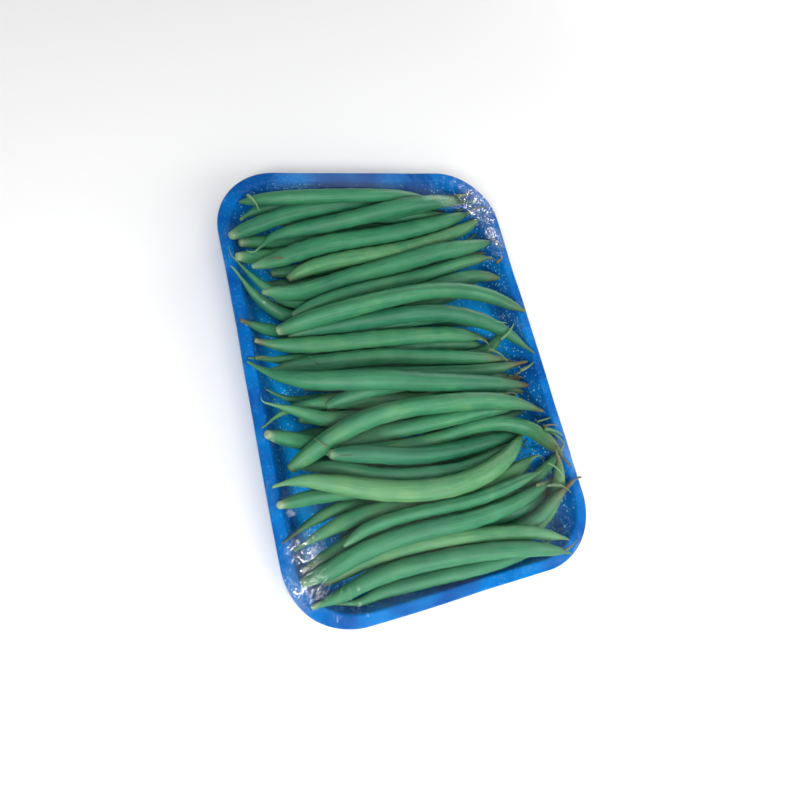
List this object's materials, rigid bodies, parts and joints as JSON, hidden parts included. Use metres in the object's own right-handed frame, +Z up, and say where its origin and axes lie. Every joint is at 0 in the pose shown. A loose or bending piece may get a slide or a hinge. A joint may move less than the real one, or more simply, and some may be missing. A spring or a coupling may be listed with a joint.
{
  "type": "green bean bundle",
  "caption": "Green beans laid crosswise in a rectangular pressed foam tray with rounded corners, under clear stretch film turned under the base",
  "frame": {"origin": "The middle of the pack's underside, on the ground", "axes": "+Z up; Y along the tray's long side; X along its short side, which is the way the beans lie, with their trimmed ends and tails at -X"},
  "size_m": [0.1482, 0.2122, 0.0387],
  "materials": {
    "tray_foam": "blue pressed polystyrene foam with a slightly shiny skin",
    "bean_skin": null,
    "film_clear": "clear glossy stretch film"
  },
  "bodies": {
    "root": {"tray": "tray_foam", "bean_01": "bean_skin", "bean_02": "bean_skin", "bean_03": "bean_skin", "bean_04": "bean_skin", "bean_05": "bean_skin", "bean_06": "bean_skin", "bean_07": "bean_skin", "bean_08": "bean_skin", "bean_09": "bean_skin", "bean_10": "bean_skin", "bean_11": "bean_skin", "bean_12": "bean_skin", "bean_13": "bean_skin", "bean_14": "bean_skin", "bean_15": "bean_skin", "bean_16": "bean_skin", "bean_17": "bean_skin", "bean_18": "bean_skin", "bean_19": "bean_skin", "bean_20": "bean_skin", "bean_21": "bean_skin", "bean_22": "bean_skin", "bean_23": "bean_skin", "bean_24": "bean_skin", "bean_25": "bean_skin", "bean_26": "bean_skin", "bean_27": "bean_skin", "bean_28": "bean_skin", "bean_29": "bean_skin", "bean_30": "bean_skin", "bean_31": "bean_skin", "bean_32": "bean_skin", "bean_33": "bean_skin", "bean_34": "bean_skin", "bean_35": "bean_skin", "bean_36": "bean_skin", "bean_37": "bean_skin", "bean_38": "bean_skin", "bean_39": "bean_skin", "bean_40": "bean_skin", "bean_41": "bean_skin", "bean_42": "bean_skin", "bean_43": "bean_skin", "bean_44": "bean_skin", "bean_45": "bean_skin", "bean_46": "bean_skin", "bean_47": "bean_skin", "bean_48": "bean_skin", "bean_49": "bean_skin", "bean_50": "bean_skin", "bean_51": "bean_skin", "bean_52": "bean_skin", "bean_53": "bean_skin", "bean_54": "bean_skin", "bean_55": "bean_skin", "bean_56": "bean_skin", "bean_57": "bean_skin", "bean_58": "bean_skin", "film": "film_clear"}
  },
  "joints": []
}
